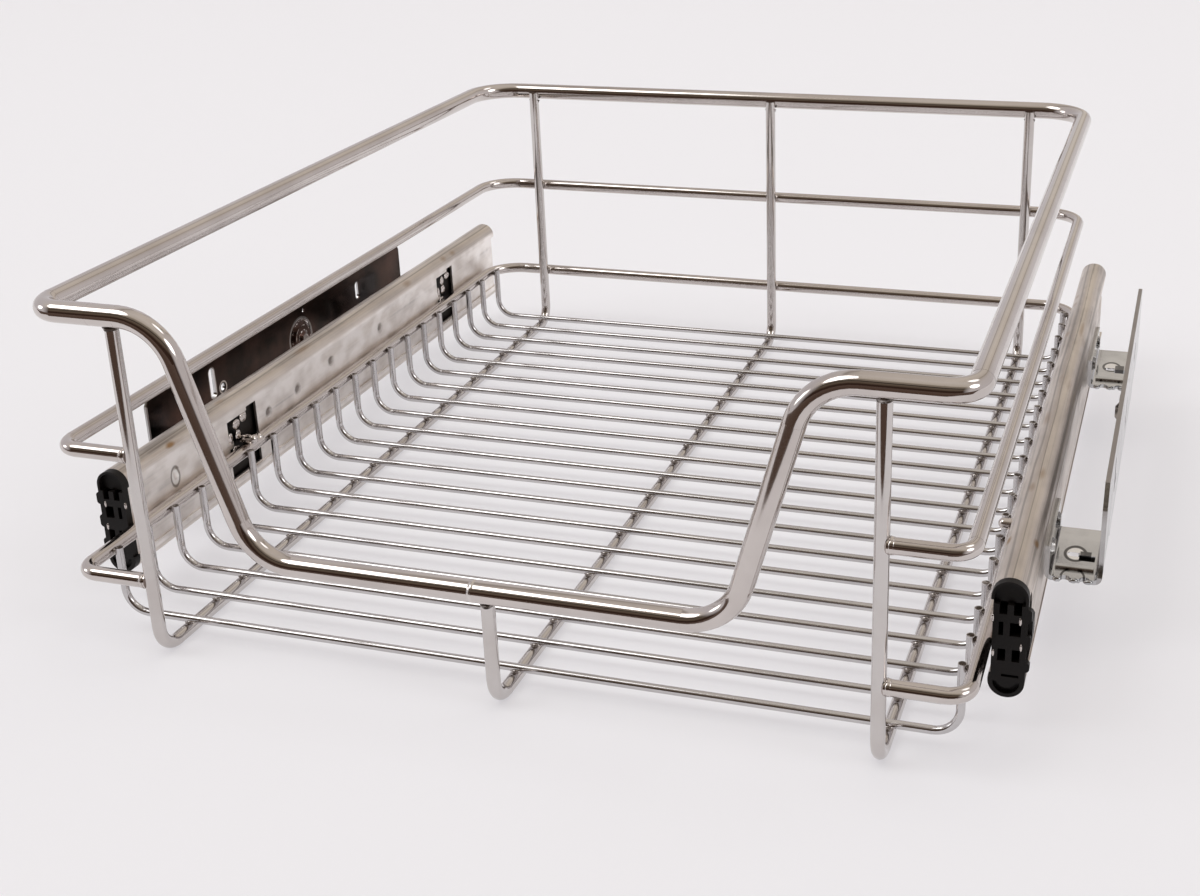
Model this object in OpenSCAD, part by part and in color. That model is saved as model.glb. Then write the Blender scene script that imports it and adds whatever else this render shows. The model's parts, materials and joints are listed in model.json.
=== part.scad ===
// Pull-out wire basket for a cabinet, on a pair of full-extension ball-bearing slides.
// Millimetres. X runs across the cabinet, -Y is the front, Z is up from the floor.
// The basket is pushed in: every slide member lies at the closed end of its travel.

/* [Basket frame] */
// Overall width over the top rim
basket_w = 348.8; // [330:1:380]
// Overall depth over the top rim
basket_d = 413.2; // [400:1:450]
// Height of the top rim's upper side above the floor
basket_h = 145; // [130:1:170]
// Diameter of the top rim's tube
top_tube = 8.4; // [7:0.2:10]
// Diameter of the middle and lower rim wires
rim_wire = 5.8; // [5:0.2:6.6]
// Height of the middle rim's centre line
middle_rim_z = 85.4; // [75:1:95]
// How far the middle rim's sides stand in from the top rim's
middle_rim_inset = 0.8; // [0:0.1:4]
// Height of the lower rim's centre line
lower_rim_z = 33; // [31:1:36]
// How far the lower rim's sides stand in from the top rim's
lower_rim_inset = 0.4; // [0:0.1:4]
// Bend radius of the top rim's rear corners
top_rear_bend = 22; // [14:1:30]
// Bend radius of the top rim's front corners
top_front_bend = 10; // [8:1:18]
// Bend radius of the middle and lower rims' rear corners
rim_rear_bend = 19; // [12:1:26]
// Bend radius of the middle and lower rims' front corners
rim_front_bend = 7.5; // [6:0.5:14]

/* [Front dip] */
// Height of the dip's centre line above the floor
dip_z = 48.9; // [44:0.1:60]
// Width of the dip between its upper corners
dip_top_w = 236; // [220:1:244]
// Width of the dip between its lower corners
dip_bottom_w = 182; // [150:1:200]
// Bend radius of the dip's four bends
dip_bend = 22; // [14:1:24]
// Distance of the rim's front tube in front of the runners' uprights
rim_overhang = 1.5; // [0:0.1:1.6]

/* [Runners and floor] */
// Diameter of the three runner wires
runner_wire = 5.2; // [4.6:0.1:5.6]
// Bend radius of the runners where they turn up
runner_bend = 10; // [8:0.5:14]
// Straight tube left between the dip's bend and a side upright
runner_landing = 1.6; // [1:0.1:3]
// Offset of the three runners to the right of the middle
runner_shift = 1.5; // [0:0.1:1.6]
// Diameter of the floor wires
floor_wire = 3.2; // [2.8:0.1:3.6]
// Distance of the first floor wire behind the front uprights
floor_front_gap = 18.7; // [16:0.1:24]
// Spacing of the floor wires
floor_pitch = 19.57; // [16:0.1:24]
// Smallest distance of the last floor wire in front of the rear uprights
floor_rear_gap = 7.8; // [7.6:0.1:12]
// Bend radius of the floor wires' ends
floor_bend = 9.5; // [7:0.5:12]
// Height of the floor wires' tips above the lower rim's centre line
floor_tip_rise = 1.6; // [0.5:0.1:2.4]

/* [Slides] */
// Depth of a slide across the cabinet, over the tracks
slide_depth = 12.7; // [12.4:0.1:14]
// Height of the wide member on the basket
slide_h = 45; // [44.6:0.2:48]
// Length of the wide member
slide_len = 366.5; // [355:1:385]
// Distance of the slides behind the front uprights
slide_setback = 39; // [30:1:46]
// Height of the slides' centre line above the lower rim's
slide_rise = 2.8; // [2:0.1:3.4]
// Sheet thickness of the wide and the cabinet members
member_sheet = 1.2; // [1:0.1:1.3]
// Sheet thickness of the middle member
middle_sheet = 1; // [0.9:0.05:1.1]
// Height of each folded ball track on the wide member
track_h = 7.3; // [7:0.1:7.8]
// Depth of the step between the wide member's tracks and its web
track_step = 0.8; // [0.4:0.1:0.9]
// Width of the flat strip on top of the wide member's arched tracks
track_flat = 0.4; // [0.3:0.1:1]
// Bend radius of the narrower members
inner_bend = 2.2; // [1.8:0.1:2.4]
// Height of the lips that close the wide member's tracks
lip_h = 6.4; // [6:0.1:6.8]
// Length by which the tracks run past the web at the rear
track_overrun = 2; // [1:0.5:3]
// Length by which the middle member is shorter than the wide one
middle_shortfall = 16.5; // [14:0.5:24]
// Length by which the cabinet member is shorter than the wide one
cabinet_shortfall = 35.5; // [30:0.5:45]
// Distance of the narrower members behind the wide member's front end
nest_setback = 8; // [7.6:0.1:12]

/* [Balls and cages] */
// Diameter of the outer balls
outer_ball = 4; // [3.8:0.05:4.1]
// Diameter of the inner balls
inner_ball = 3; // [2.9:0.05:3.1]
// Depth of the grooves that the outer balls run in
outer_groove = 0.45; // [0.35:0.01:0.48]
// Depth of the grooves that the inner balls run in
inner_groove = 0.35; // [0.25:0.01:0.4]
// Running gap between a ball and its grooves
ball_play = 0.05; // [0.02:0.01:0.08]
// Sheet thickness of the ball cages
cage_sheet = 0.5; // [0.4:0.05:0.55]
// Gap on each side of a ball cage's web
cage_gap = 0.3; // [0.25:0.01:0.35]
// Length of a ball cage
cage_len = 156; // [120:1:165]
// Spacing of the balls along a cage
ball_pitch = 12; // [9:0.5:16]

/* [Windows and pegs] */
// Distance of the front window behind the wide member's front end
front_window_at = 73; // [66:1:86]
// Length of the front window
front_window_len = 24; // [20:0.5:30]
// Distance of the rear window behind the wide member's front end
rear_window_at = 288; // [275:1:298]
// Length of the rear window
rear_window_len = 20.5; // [16:0.5:26]
// Distance of a window's lower edge below the slide's centre line
window_below = 14.6; // [13:0.1:14.8]
// Distance of a window's upper edge above the slide's centre line
window_above = 13; // [11:0.1:13]
// Extra height of the rear third of a window
window_step = 2; // [1:0.1:2]
// Diameter of the pegs that locate the basket in the front windows
peg_d = 4.4; // [3.8:0.1:4.8]
// Distance of a peg behind the front window's front edge
peg_at = 9; // [7:0.5:15]

/* [Front caps] */
// Length of a front cap in front of the wide member
cap_len = 3.4; // [2.4:0.1:8]
// Depth of a front cap's plug inside the wide member
cap_plug = 6; // [4:0.5:7]
// Wall of a front cap around its pockets
cap_wall = 1.4; // [1.2:0.1:1.8]
// Thickness of the upright ribs in a cap's pockets
cap_rib = 2.2; // [1.6:0.1:3]
// Thickness of the fin on a cap's outer side
fin_t = 1.5; // [1.2:0.1:2.4]
// How far the three bumps stand out from a cap's outer side
bump_out = 1.3; // [1:0.1:2]
// Height of the fin on a cap's outer side
fin_h = 20; // [16:0.5:24]

/* [Mounting rails] */
// Distance from a slide's outer face to its mounting rail's outer face
rail_reach = 21.1; // [17:0.1:26]
// Sheet thickness of the mounting rails
rail_sheet = 1.8; // [1.4:0.1:2.2]
// Length of a mounting rail
rail_len = 250; // [240:1:262]
// Height of a mounting rail's plate
rail_h = 37; // [34:0.5:44]
// Distance of a rail's front end behind the cabinet member's front end
rail_setback = 47; // [42:1:56]
// Distance of a rail's lower side below the slide's centre line
rail_drop = 5.8; // [5:0.1:7]
// Outer bend radius of the rails' folds
rail_bend = 3; // [2.6:0.1:3.4]
// Length of the front bracket
front_bracket_len = 42.6; // [40:0.2:50]
// Length of the rear bracket
rear_bracket_len = 50; // [46:0.5:60]
// Height of the flange that is riveted to the cabinet member
flange_h = 14; // [12:0.5:16]
// Length of the front oblong screw slot in a rail's plate
front_slot_len = 15; // [10:0.5:16]
// Length of the rear oblong screw slot in a rail's plate
rear_slot_len = 10; // [8:0.5:14]
// Width of the oblong screw slots
slot_w = 4.6; // [3.6:0.1:5]
// Diameter of the round screw hole in a rail's plate
screw_hole = 4.2; // [3:0.1:5]
// Diameter of the drawn cup in the middle of a rail's plate
cup_d = 21; // [16:0.5:24]
// Height of the drawn cup on the plate's inner side
cup_rise = 1.4; // [1.2:0.1:2.4]
// Diameter of a rivet's shank
rivet_d = 4; // [3:0.1:4.4]
// Diameter of a rivet's head
rivet_head = 7; // [5.6:0.1:8]

/* [Hidden] */
$fn = 48;
// Overshoot of a cutting tool past the face that it opens
over = 1;
// What a wire loses in diameter where it is bent, and how far its straight legs run into the bend
bend_thinning = 0.06;
bend_lap = 0.2;

// Basket frame: planes and half widths of the wires' centre lines
rim_front_y = -basket_d / 2 + top_tube / 2;
rim_rear_y = basket_d / 2 - top_tube / 2;
top_half = basket_w / 2 - top_tube / 2;
top_z = basket_h - top_tube / 2;
middle_half = basket_w / 2 - middle_rim_inset - rim_wire / 2;
lower_half = basket_w / 2 - lower_rim_inset - rim_wire / 2;
upright_front_y = rim_front_y + rim_overhang;
rim_back_y = basket_d / 2 - rim_wire / 2;
upright_rear_y = rim_back_y - (rim_wire + runner_wire) / 2;
dip_turn = atan2(top_z - dip_z, (dip_top_w - dip_bottom_w) / 2);
dip_setback = dip_bend * tan(dip_turn / 2);
shift_room = 1.6;
runner_half = dip_top_w / 2 + dip_setback + runner_wire / 2 + runner_landing + shift_room;
runner_z = runner_wire / 2;
floor_z = runner_wire + floor_wire / 2;
floor_half = lower_half - (rim_wire + floor_wire) / 2;
floor_bend_y = rim_back_y - rim_rear_bend;
floor_bend_reach = rim_rear_bend - (rim_wire + floor_wire) / 2;
floor_tip_z = lower_rim_z + floor_tip_rise;
floor_run = upright_rear_y - upright_front_y - floor_front_gap - floor_rear_gap;
floor_count = floor(floor_run / floor_pitch) + 1;
// Depth to which a butt-welded wire end bites round the upright that it meets
weld_bite = 0.8;

// Slides: u runs outboard from the web's inboard face, z from the slide's centre line
slide_x = lower_half + rim_wire / 2 - track_step;
slide_y = upright_front_y + slide_setback;
slide_z = lower_rim_z + slide_rise;
web_len = slide_len - track_overrun;
web_h = slide_h - 2 * track_h;
track_bend = (slide_depth - track_flat) / 2;
outer_ball_z = slide_h / 2 - member_sheet - outer_ball / 2 - ball_play + outer_groove;
middle_top = outer_ball_z - outer_ball / 2 - ball_play + outer_groove;
inner_ball_z = middle_top - middle_sheet - inner_ball / 2 - ball_play + inner_groove;
cabinet_top = inner_ball_z - inner_ball / 2 - ball_play + inner_groove;
outer_cage_u = track_step + member_sheet + cage_gap;
middle_u = outer_cage_u + cage_sheet + cage_gap;
inner_cage_u = middle_u + middle_sheet + cage_gap;
// What the narrower members' edges keep from the tracks and from the inner cage
middle_edge_gap = 1.1;
cabinet_edge_gap = 0.7;
middle_edge_u = slide_depth - member_sheet - middle_edge_gap;
cabinet_edge_u = inner_cage_u + cage_sheet + cabinet_edge_gap;
outer_ball_u = slide_depth / 2;
inner_ball_u = slide_depth - 4.1;
// How far a cage's folds lean outboard, and how far its arms reach past the balls
outer_cage_lean = 1.9;
inner_cage_lean = 1;
cage_hem = 0.7;
nest_y = slide_y + nest_setback;
middle_len = slide_len - middle_shortfall;
cabinet_len = slide_len - cabinet_shortfall;
cage_y = nest_y + (middle_len - cage_len) / 2;
balls_per_row = floor((cage_len - ball_pitch) / ball_pitch) + 1;
peg_reach = 6.5;
// Front caps: corner radius, and the fin's upper edge above the slide's centre line
cap_round = track_bend + 0.1;
fin_top = 8.4;

// Rails
rail_x = slide_x + slide_depth + rail_reach;
rail_y = nest_y + rail_setback;
rail_z = slide_z - rail_drop;
rear_bracket_y = rail_y + rail_len - rear_bracket_len;
rivet_z = slide_z + 3.4;
rivet_rise = 1.1;
rivet_inset = 10;
// Rib, lobes and lanced slot of a bracket
rib_at = 8;
lobe_gap = 3.6;
lance_len = 6;
lance_w = 4.8;
// Places on a rail's plate, from its lower front corner
front_slot_at = 56;
rear_slot_at = 199;
slot_z = 20.5;
screw_hole_at = 64;
screw_hole_z = 15.5;
cup_at = 137;
cup_z = 14.6;
cup_taper = 1;
cup_dome = 9;
lead_hole_at = 142;
lead_hole_z = 28;
lead_hole = 2.4;
// Cut-away upper corners of a rail's plate, and its front edge behind the bracket's front end
rear_corner = [4, 8];
front_corner = [6, 9];
front_edge = 5.5;

// Wires that lie in one plane, as straight legs and round bends

function heading(a, b) = atan2(b.y - a.y, b.x - a.x);
function turn(a, b, c) =
    let (t = heading(b, c) - heading(a, b))
    t > 180 ? t - 360 : t < -180 ? t + 360 : t;
function setback(a, b, c, r) = r * tan(abs(turn(a, b, c)) / 2);
function toward(a, b, by) = a + (b - a) * by / norm(b - a);

module leg(a, b, d) {
    translate([a.x, a.y, 0])
        rotate([0, 90, heading(a, b)])
            cylinder(d = d, h = norm(b - a));
}

module bend(a, b, c, r, d) {
    way = heading(a, b);
    angle = turn(a, b, c);
    side = angle > 0 ? 1 : -1;
    start = toward(b, a, setback(a, b, c, r));
    translate([start.x - side * r * sin(way), start.y + side * r * cos(way), 0])
        rotate(angle > 0 ? way - 90 : way + 90 + angle)
            rotate_extrude(angle = abs(angle))
                translate([r, 0])
                    circle(d = d);
}

// A wire through points, bent to the given radius at each inner point. Bending draws the wire a
// little thinner, and each leg runs a little way into its bends, so that the surfaces cross cleanly.
module flat_wire(points, radii, d) {
    last = len(points) - 1;
    backs = [
        for (i = [0:last])
            i == 0 || i == last ? 0 : setback(points[i - 1], points[i], points[i + 1], radii[i - 1]) - bend_lap
    ];
    for (i = [0:last - 1])
        leg(toward(points[i], points[i + 1], backs[i]), toward(points[i + 1], points[i], backs[i + 1]), d);
    for (i = [1:last - 1])
        bend(points[i - 1], points[i], points[i + 1], radii[i - 1], d - bend_thinning);
}

// Turns a flat drawing upright: its x runs along X or Y, its y runs up
module across_front() {
    rotate([90, 0, 0]) children();
}

module along_side() {
    rotate([90, 0, 90]) children();
}

module mirrored(side) {
    if (side < 0) mirror([1, 0, 0]) children();
    else children();
}

// Basket frame

// The rim's front tube is a touch thinner and runs into the rear tube's two ends, under the side runners
module top_rim() {
    splice = runner_half + runner_wire;
    splice_lap = 0.5;
    color("silver") {
        translate([0, 0, top_z])
            flat_wire(
                [
                    [splice, rim_front_y], [top_half, rim_front_y], [top_half, rim_rear_y],
                    [-top_half, rim_rear_y], [-top_half, rim_front_y], [-splice, rim_front_y]
                ],
                [top_front_bend, top_rear_bend, top_rear_bend, top_front_bend], top_tube
            );
        translate([0, rim_front_y, 0])
            across_front()
                flat_wire(
                    [
                        [-splice - splice_lap, top_z], [-dip_top_w / 2, top_z], [-dip_bottom_w / 2, dip_z],
                        [dip_bottom_w / 2, dip_z], [dip_top_w / 2, top_z], [splice + splice_lap, top_z]
                    ],
                    [dip_bend, dip_bend, dip_bend, dip_bend], top_tube - bend_thinning
                );
    }
}

// A rim that runs round the back and sides and ends against the two side uprights
module side_rim(half, z) {
    left_end = -runner_half + runner_shift - runner_wire / 2 + weld_bite;
    right_end = runner_half + runner_shift + runner_wire / 2 - weld_bite;
    color("silver")
        difference() {
            translate([0, 0, z])
                flat_wire(
                    [
                        [right_end, upright_front_y], [half, upright_front_y], [half, rim_back_y],
                        [-half, rim_back_y], [-half, upright_front_y], [left_end, upright_front_y]
                    ],
                    [rim_front_bend, rim_rear_bend, rim_rear_bend, rim_front_bend], rim_wire
                );
            for (x = [-runner_half, runner_half])
                translate([x + runner_shift, upright_front_y, z - rim_wire])
                    cylinder(d = runner_wire, h = 2 * rim_wire);
        }
}

module middle_rim() {
    side_rim(middle_half, middle_rim_z);
}

module lower_rim() {
    side_rim(lower_half, lower_rim_z);
}

// A runner: one wire under the floor whose two ends stand up and are coped to the top rim
module runner(x, front_z) {
    color("gainsboro")
        difference() {
            translate([x, 0, 0])
                along_side()
                    flat_wire(
                        [
                            [upright_front_y, front_z], [upright_front_y, runner_z],
                            [upright_rear_y, runner_z], [upright_rear_y, top_z]
                        ],
                        [runner_bend, runner_bend], runner_wire
                    );
            translate([x - runner_wire, rim_front_y, front_z])
                rotate([0, 90, 0])
                    cylinder(d = top_tube, h = 2 * runner_wire);
            translate([x - runner_wire, rim_rear_y, top_z])
                rotate([0, 90, 0])
                    cylinder(d = top_tube, h = 2 * runner_wire);
        }
}

module left_runner() {
    runner(runner_shift - runner_half, top_z);
}

module centre_runner() {
    runner(runner_shift, dip_z);
}

module right_runner() {
    runner(runner_shift + runner_half, top_z);
}

// Half width of the floor wire at y: behind the start of the lower rim's rear bend it follows the bend in
function floor_half_at(y) =
    let (past = max(0, y - floor_bend_y))
    floor_half - floor_bend_reach + sqrt(floor_bend_reach * floor_bend_reach - past * past);

module floor_wires() {
    color("gainsboro")
        for (i = [0:floor_count - 1]) {
            y = upright_front_y + floor_front_gap + i * floor_pitch;
            half = floor_half_at(y);
            translate([0, y, 0])
                across_front()
                    flat_wire(
                        [[-half, floor_tip_z], [-half, floor_z], [half, floor_z], [half, floor_tip_z]],
                        [floor_bend, floor_bend], floor_wire
                    );
        }
}

// A round-nosed peg on the lower rim that stands in the wide member's front window
module peg(side) {
    color("silver")
        mirrored(side)
            translate([
                lower_half + rim_wire / 2 - peg_reach,
                slide_y + front_window_at + peg_at,
                lower_rim_z + (rim_wire + peg_d) / 2
            ]) {
                rotate([0, 90, 0])
                    cylinder(d = peg_d, h = peg_reach + member_sheet);
                sphere(d = peg_d);
            }
}

module left_peg() {
    peg(-1);
}

module right_peg() {
    peg(1);
}

// Slide members: sections drawn in (u, z), swept along Y

module rounded(u0, u1, half, r) {
    translate([u0 + r, -half])
        square([u1 - u0 - 2 * r, 2 * half]);
    translate([u0, r - half])
        square([u1 - u0, 2 * (half - r)]);
    for (u = [u0 + r, u1 - r], z = [r - half, half - r])
        translate([u, z])
            circle(r = r);
}

// Sweeps a section from y over a length, on the right or the left slide
module swept(side, y, length) {
    mirrored(side)
        translate([slide_x, y + length, slide_z])
            rotate([90, 0, 0])
                linear_extrude(length)
                    children();
}

module wide_section() {
    difference() {
        rounded(0, slide_depth, slide_h / 2, track_bend);
        translate([-over, -web_h / 2])
            square([over + track_step, web_h]);
        difference() {
            rounded(member_sheet, slide_depth - member_sheet, slide_h / 2 - member_sheet, track_bend - member_sheet);
            translate([0, -web_h / 2 - member_sheet])
                square([track_step + member_sheet, web_h + 2 * member_sheet]);
        }
        translate([slide_depth - 2 * member_sheet, lip_h - slide_h / 2])
            square([2 * member_sheet + over, slide_h - 2 * lip_h]);
        for (z = [-outer_ball_z, outer_ball_z])
            translate([outer_ball_u, z])
                circle(r = outer_ball / 2 + ball_play);
    }
}

// A window in the wide member's web: its rear third is taller, and a tongue stands in from its front edge
module window(at, length) {
    tongue = [3.2, 3];
    translate([-over, at, 0])
        difference() {
            union() {
                translate([0, 0, -window_below])
                    cube([over + member_sheet + 2 * track_step, length, window_below + window_above]);
                translate([0, length * 2 / 3, 0])
                    cube([over + member_sheet + 2 * track_step, length / 3, window_above + window_step]);
            }
            translate([0, -over, 0])
                cube([over + member_sheet + 2 * track_step, tongue.x + over, tongue.y]);
        }
}

module wide_member(side) {
    dimples = [[32.6, 7.2], [106.8, 4.9], [133.7, 6], [166.5, 8.3], [218.9, 7.6]];
    dimple_deep = 0.6;
    dimple_d = 5;
    color("darkgray")
        difference() {
            swept(side, slide_y, slide_len)
                wide_section();
            mirrored(side)
                translate([slide_x, slide_y, slide_z]) {
                    window(front_window_at, front_window_len);
                    window(rear_window_at, rear_window_len);
                    translate([-over, web_len, -web_h / 2])
                        cube([over + track_step + member_sheet + cage_gap, track_overrun + over, web_h]);
                    for (at = dimples)
                        translate([track_step + dimple_deep, at.x, at.y])
                            rotate([0, -90, 0])
                                cylinder(d1 = dimple_d / 2, d2 = dimple_d, h = dimple_deep);
                }
        }
}

module left_wide_member() {
    wide_member(-1);
}

module right_wide_member() {
    wide_member(1);
}

module middle_section() {
    difference() {
        rounded(middle_u, middle_edge_u + inner_bend, middle_top, inner_bend);
        rounded(
            middle_u + middle_sheet, middle_edge_u + 2 * inner_bend,
            middle_top - middle_sheet, inner_bend - middle_sheet
        );
        translate([middle_edge_u, -slide_h])
            square([slide_depth, 2 * slide_h]);
        for (z = [-outer_ball_z, outer_ball_z])
            translate([outer_ball_u, z])
                circle(r = outer_ball / 2 + ball_play);
        for (z = [-inner_ball_z, inner_ball_z])
            translate([inner_ball_u, z])
                circle(r = inner_ball / 2 + ball_play);
    }
}

module left_middle_member() {
    color("slategray")
        swept(-1, nest_y, middle_len)
            middle_section();
}

module right_middle_member() {
    color("slategray")
        swept(1, nest_y, middle_len)
            middle_section();
}

module cabinet_section() {
    difference() {
        rounded(cabinet_edge_u - inner_bend, slide_depth, cabinet_top, inner_bend);
        rounded(
            cabinet_edge_u - 2 * inner_bend, slide_depth - member_sheet,
            cabinet_top - member_sheet, inner_bend - member_sheet
        );
        translate([0, -slide_h])
            square([cabinet_edge_u, 2 * slide_h]);
        for (z = [-inner_ball_z, inner_ball_z])
            translate([inner_ball_u, z])
                circle(r = inner_ball / 2 + ball_play);
    }
}

module cabinet_member(side) {
    color("darkgray")
        difference() {
            swept(side, nest_y, cabinet_len)
                cabinet_section();
            rivet_places(side)
                cylinder(d = rivet_d, h = 4 * member_sheet, center = true);
        }
}

module left_cabinet_member() {
    cabinet_member(-1);
}

module right_cabinet_member() {
    cabinet_member(1);
}

// Ball cages: a folded strip with a row of pockets along its upper and lower arms

// The strip's section: a web at u, leaning folds that keep clear of the tracks' arches, and two arms
module cage_section(u, edge_u, z, lean) {
    half = cage_sheet / 2;
    web_top = z - lean;
    upper = [
        [u, web_top], [u + lean, z + half], [edge_u, z + half],
        [edge_u, z - half], [u + lean + half, z - half], [u + cage_sheet, web_top - half]
    ];
    polygon(concat(upper, [for (i = [len(upper) - 1:-1:0]) [upper[i].x, -upper[i].y]]));
}

module ball_rows(side, u, z) {
    mirrored(side)
        for (i = [0:balls_per_row - 1], row_z = [-z, z])
            translate([
                slide_x + u,
                cage_y + cage_len / 2 + (i - (balls_per_row - 1) / 2) * ball_pitch,
                slide_z + row_z
            ])
                children();
}

module outer_cage(side) {
    color("dimgray")
        difference() {
            swept(side, cage_y, cage_len)
                cage_section(outer_cage_u, outer_ball_u + outer_ball / 2 + cage_hem, outer_ball_z, outer_cage_lean);
            ball_rows(side, outer_ball_u, outer_ball_z)
                cylinder(d = outer_ball, h = 4 * cage_sheet, center = true);
        }
}

module left_outer_cage() {
    outer_cage(-1);
}

module right_outer_cage() {
    outer_cage(1);
}

module left_outer_balls() {
    color("white")
        ball_rows(-1, outer_ball_u, outer_ball_z)
            sphere(d = outer_ball);
}

module right_outer_balls() {
    color("white")
        ball_rows(1, outer_ball_u, outer_ball_z)
            sphere(d = outer_ball);
}

module inner_cage(side) {
    color("dimgray")
        difference() {
            swept(side, cage_y, cage_len)
                cage_section(inner_cage_u, inner_ball_u + inner_ball / 2 + cage_hem, inner_ball_z, inner_cage_lean);
            ball_rows(side, inner_ball_u, inner_ball_z)
                cylinder(d = inner_ball, h = 4 * cage_sheet, center = true);
        }
}

module left_inner_cage() {
    inner_cage(-1);
}

module right_inner_cage() {
    inner_cage(1);
}

module left_inner_balls() {
    color("white")
        ball_rows(-1, inner_ball_u, inner_ball_z)
            sphere(d = inner_ball);
}

module right_inner_balls() {
    color("white")
        ball_rows(1, inner_ball_u, inner_ball_z)
            sphere(d = inner_ball);
}

// Front caps: a hollow moulded bumper on the wide member's front end, with a plug inside its section

// A pocket in a cap's front face, from (u0, z0) to (u1, z1), with one upright rib left standing in it
module cap_pocket(u0, u1, z0, z1, deep, rib_u, rib_w) {
    difference() {
        translate([u0, -over, z0])
            cube([u1 - u0, deep + over, z1 - z0]);
        translate([rib_u - rib_w / 2, 0, z0 - over])
            cube([rib_w, deep + over, z1 - z0 + 2 * over]);
    }
}

// The crescent hollow in the cap's lower dome
module cap_crescent(deep) {
    outer_r = slide_depth / 2 - cap_wall - 0.3;
    translate([slide_depth / 2, deep, cap_wall + outer_r - slide_h / 2])
        rotate([90, 0, 0])
            linear_extrude(deep + over)
                difference() {
                    circle(r = outer_r);
                    translate([0, outer_r * 0.3])
                        circle(r = outer_r * 0.78);
                    translate([-slide_depth, 0])
                        square([2 * slide_depth, slide_depth]);
                }
}

module front_cap(side) {
    fit_gap = 0.05;
    inset = member_sheet + fit_gap;
    plug_wall = cap_wall - 0.5;
    inner_u = slide_depth - inset - plug_wall;
    near_u = track_step + inset + plug_wall;
    across = (near_u + inner_u) / 2;
    dome_z = web_h / 2 - 1.4;
    dome_deep = cap_len * 0.7;
    dome_rim = 1;
    deep = cap_len + cap_plug - cap_wall;
    color("black") {
        difference() {
            union() {
                swept(side, slide_y - cap_len, cap_len)
                    difference() {
                        rounded(0, slide_depth, slide_h / 2, cap_round);
                        translate([-over, -web_h / 2])
                            square([over + track_step + fit_gap, web_h]);
                    }
                swept(side, slide_y, cap_plug)
                    difference() {
                        rounded(inset, slide_depth - inset, slide_h / 2 - inset, track_bend - inset);
                        translate([0, -web_h / 2 - inset])
                            square([track_step + inset, web_h + 2 * inset]);
                    }
            }
            swept(side, slide_y - cap_len - over, over + dome_deep)
                intersection() {
                    rounded(dome_rim, slide_depth - dome_rim, slide_h / 2 - dome_rim, cap_round - dome_rim);
                    translate([0, dome_z])
                        square([slide_depth, slide_h]);
                }
            mirrored(side)
                translate([slide_x, slide_y - cap_len, slide_z]) {
                    cap_pocket(near_u, inner_u, dome_z - 3.8, dome_z, deep, across, cap_rib);
                    cap_pocket(near_u, inner_u, 1.8, 7, deep, across - cap_rib / 2, cap_rib);
                    cap_pocket(near_u, inner_u, -8.2, -3.5, deep, across, cap_rib);
                    cap_pocket(across - cap_rib, inner_u, -14.4, -13.4, cap_len - cap_wall, 0, cap_rib);
                    cap_crescent(cap_len - cap_wall);
                }
        }
        mirrored(side)
            translate([slide_x + slide_depth, slide_y - cap_len, slide_z])
                cap_fin();
    }
}

// Three bumps down a cap's outer side, and a wedge behind them that reaches back along the slide
module cap_fin() {
    fin_foot = 1.6;
    bump_y = cap_len * 0.7;
    bumps = [[fin_top - 0.6, 4.7], [fin_top - 10.9, 5], [fin_top - 19.9, 3.4]];
    for (bump = bumps)
        translate([0, bump_y, bump.x])
            rotate([90, 0, 0])
                linear_extrude(bump_y)
                    polygon([
                        [-fin_foot, -0.8], [bump_out - 0.5, 0], [bump_out, 0.7], [bump_out, bump.y - 0.7],
                        [bump_out - 0.5, bump.y], [-fin_foot, bump.y + 0.8]
                    ]);
    translate([0, cap_len + cap_plug, 0])
        rotate([90, 0, 0])
            linear_extrude(cap_len + cap_plug - bump_y + 0.2)
                polygon([
                    [-fin_foot, fin_top], [fin_t - 0.8, fin_top], [fin_t, fin_top - 1.4], [fin_t, fin_top - fin_h * 0.45],
                    [0, fin_top - fin_h], [-fin_foot, fin_top - fin_h]
                ]);
}

module left_front_cap() {
    front_cap(-1);
}

module right_front_cap() {
    front_cap(1);
}

// Mounting rails: a plate on the cabinet's side with two folded brackets that carry the slide

// The folded bracket's section: plate fold, shelf, flange fold and flange, in (x, z) from the slide's outer face
module bracket_section() {
    inner_r = rail_bend - rail_sheet;
    translate([rail_bend, 0])
        square([rail_reach - 2 * rail_bend, rail_sheet]);
    translate([0, rail_bend])
        square([rail_sheet, flange_h - rail_bend]);
    translate([rail_bend, rail_bend])
        fold(inner_r, [-1, -1]);
    translate([rail_reach - rail_bend, rail_bend])
        fold(inner_r, [1, -1]);
}

module fold(inner_r, toward_corner) {
    intersection() {
        difference() {
            circle(r = rail_bend);
            circle(r = inner_r);
        }
        translate([toward_corner.x < 0 ? -rail_bend : 0, toward_corner.y < 0 ? -rail_bend : 0])
            square(rail_bend);
    }
}

// A bracket with a pressed rib across it and a scalloped front edge
module bracket(length) {
    shelf = rail_reach - 2 * rail_bend;
    rib_r = 1.6;
    difference() {
        translate([0, length, 0])
            rotate([90, 0, 0])
                linear_extrude(length)
                    bracket_section();
        for (x = [rail_reach * 0.36, rail_reach * 0.7])
            translate([x, 0, -over])
                cylinder(d = lobe_gap, h = rail_sheet + 2 * over);
    }
    translate([rail_reach / 2, rib_at, rail_sheet])
        rotate([0, 90, 0])
            cylinder(r = rib_r, h = shelf - 1, center = true);
}

// The lanced slot: a rounded opening on the slide's side that runs into a square one nearer the plate
module bracket_slot(length) {
    cut_h = rail_sheet + 2 * over;
    translate([rail_reach * 0.56, length * 0.46, -over]) {
        translate([-0.4, -lance_w, 0])
            cube([lance_len, lance_w, cut_h]);
        translate([-0.4 - lance_len / 2, 0, 0])
            round_ended(lance_len, lance_w * 0.7, cut_h);
    }
}

module round_ended(length, width, depth) {
    translate([0, -width / 2, 0])
        cube([length / 2, width, depth]);
    cylinder(d = width, h = depth);
}

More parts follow.
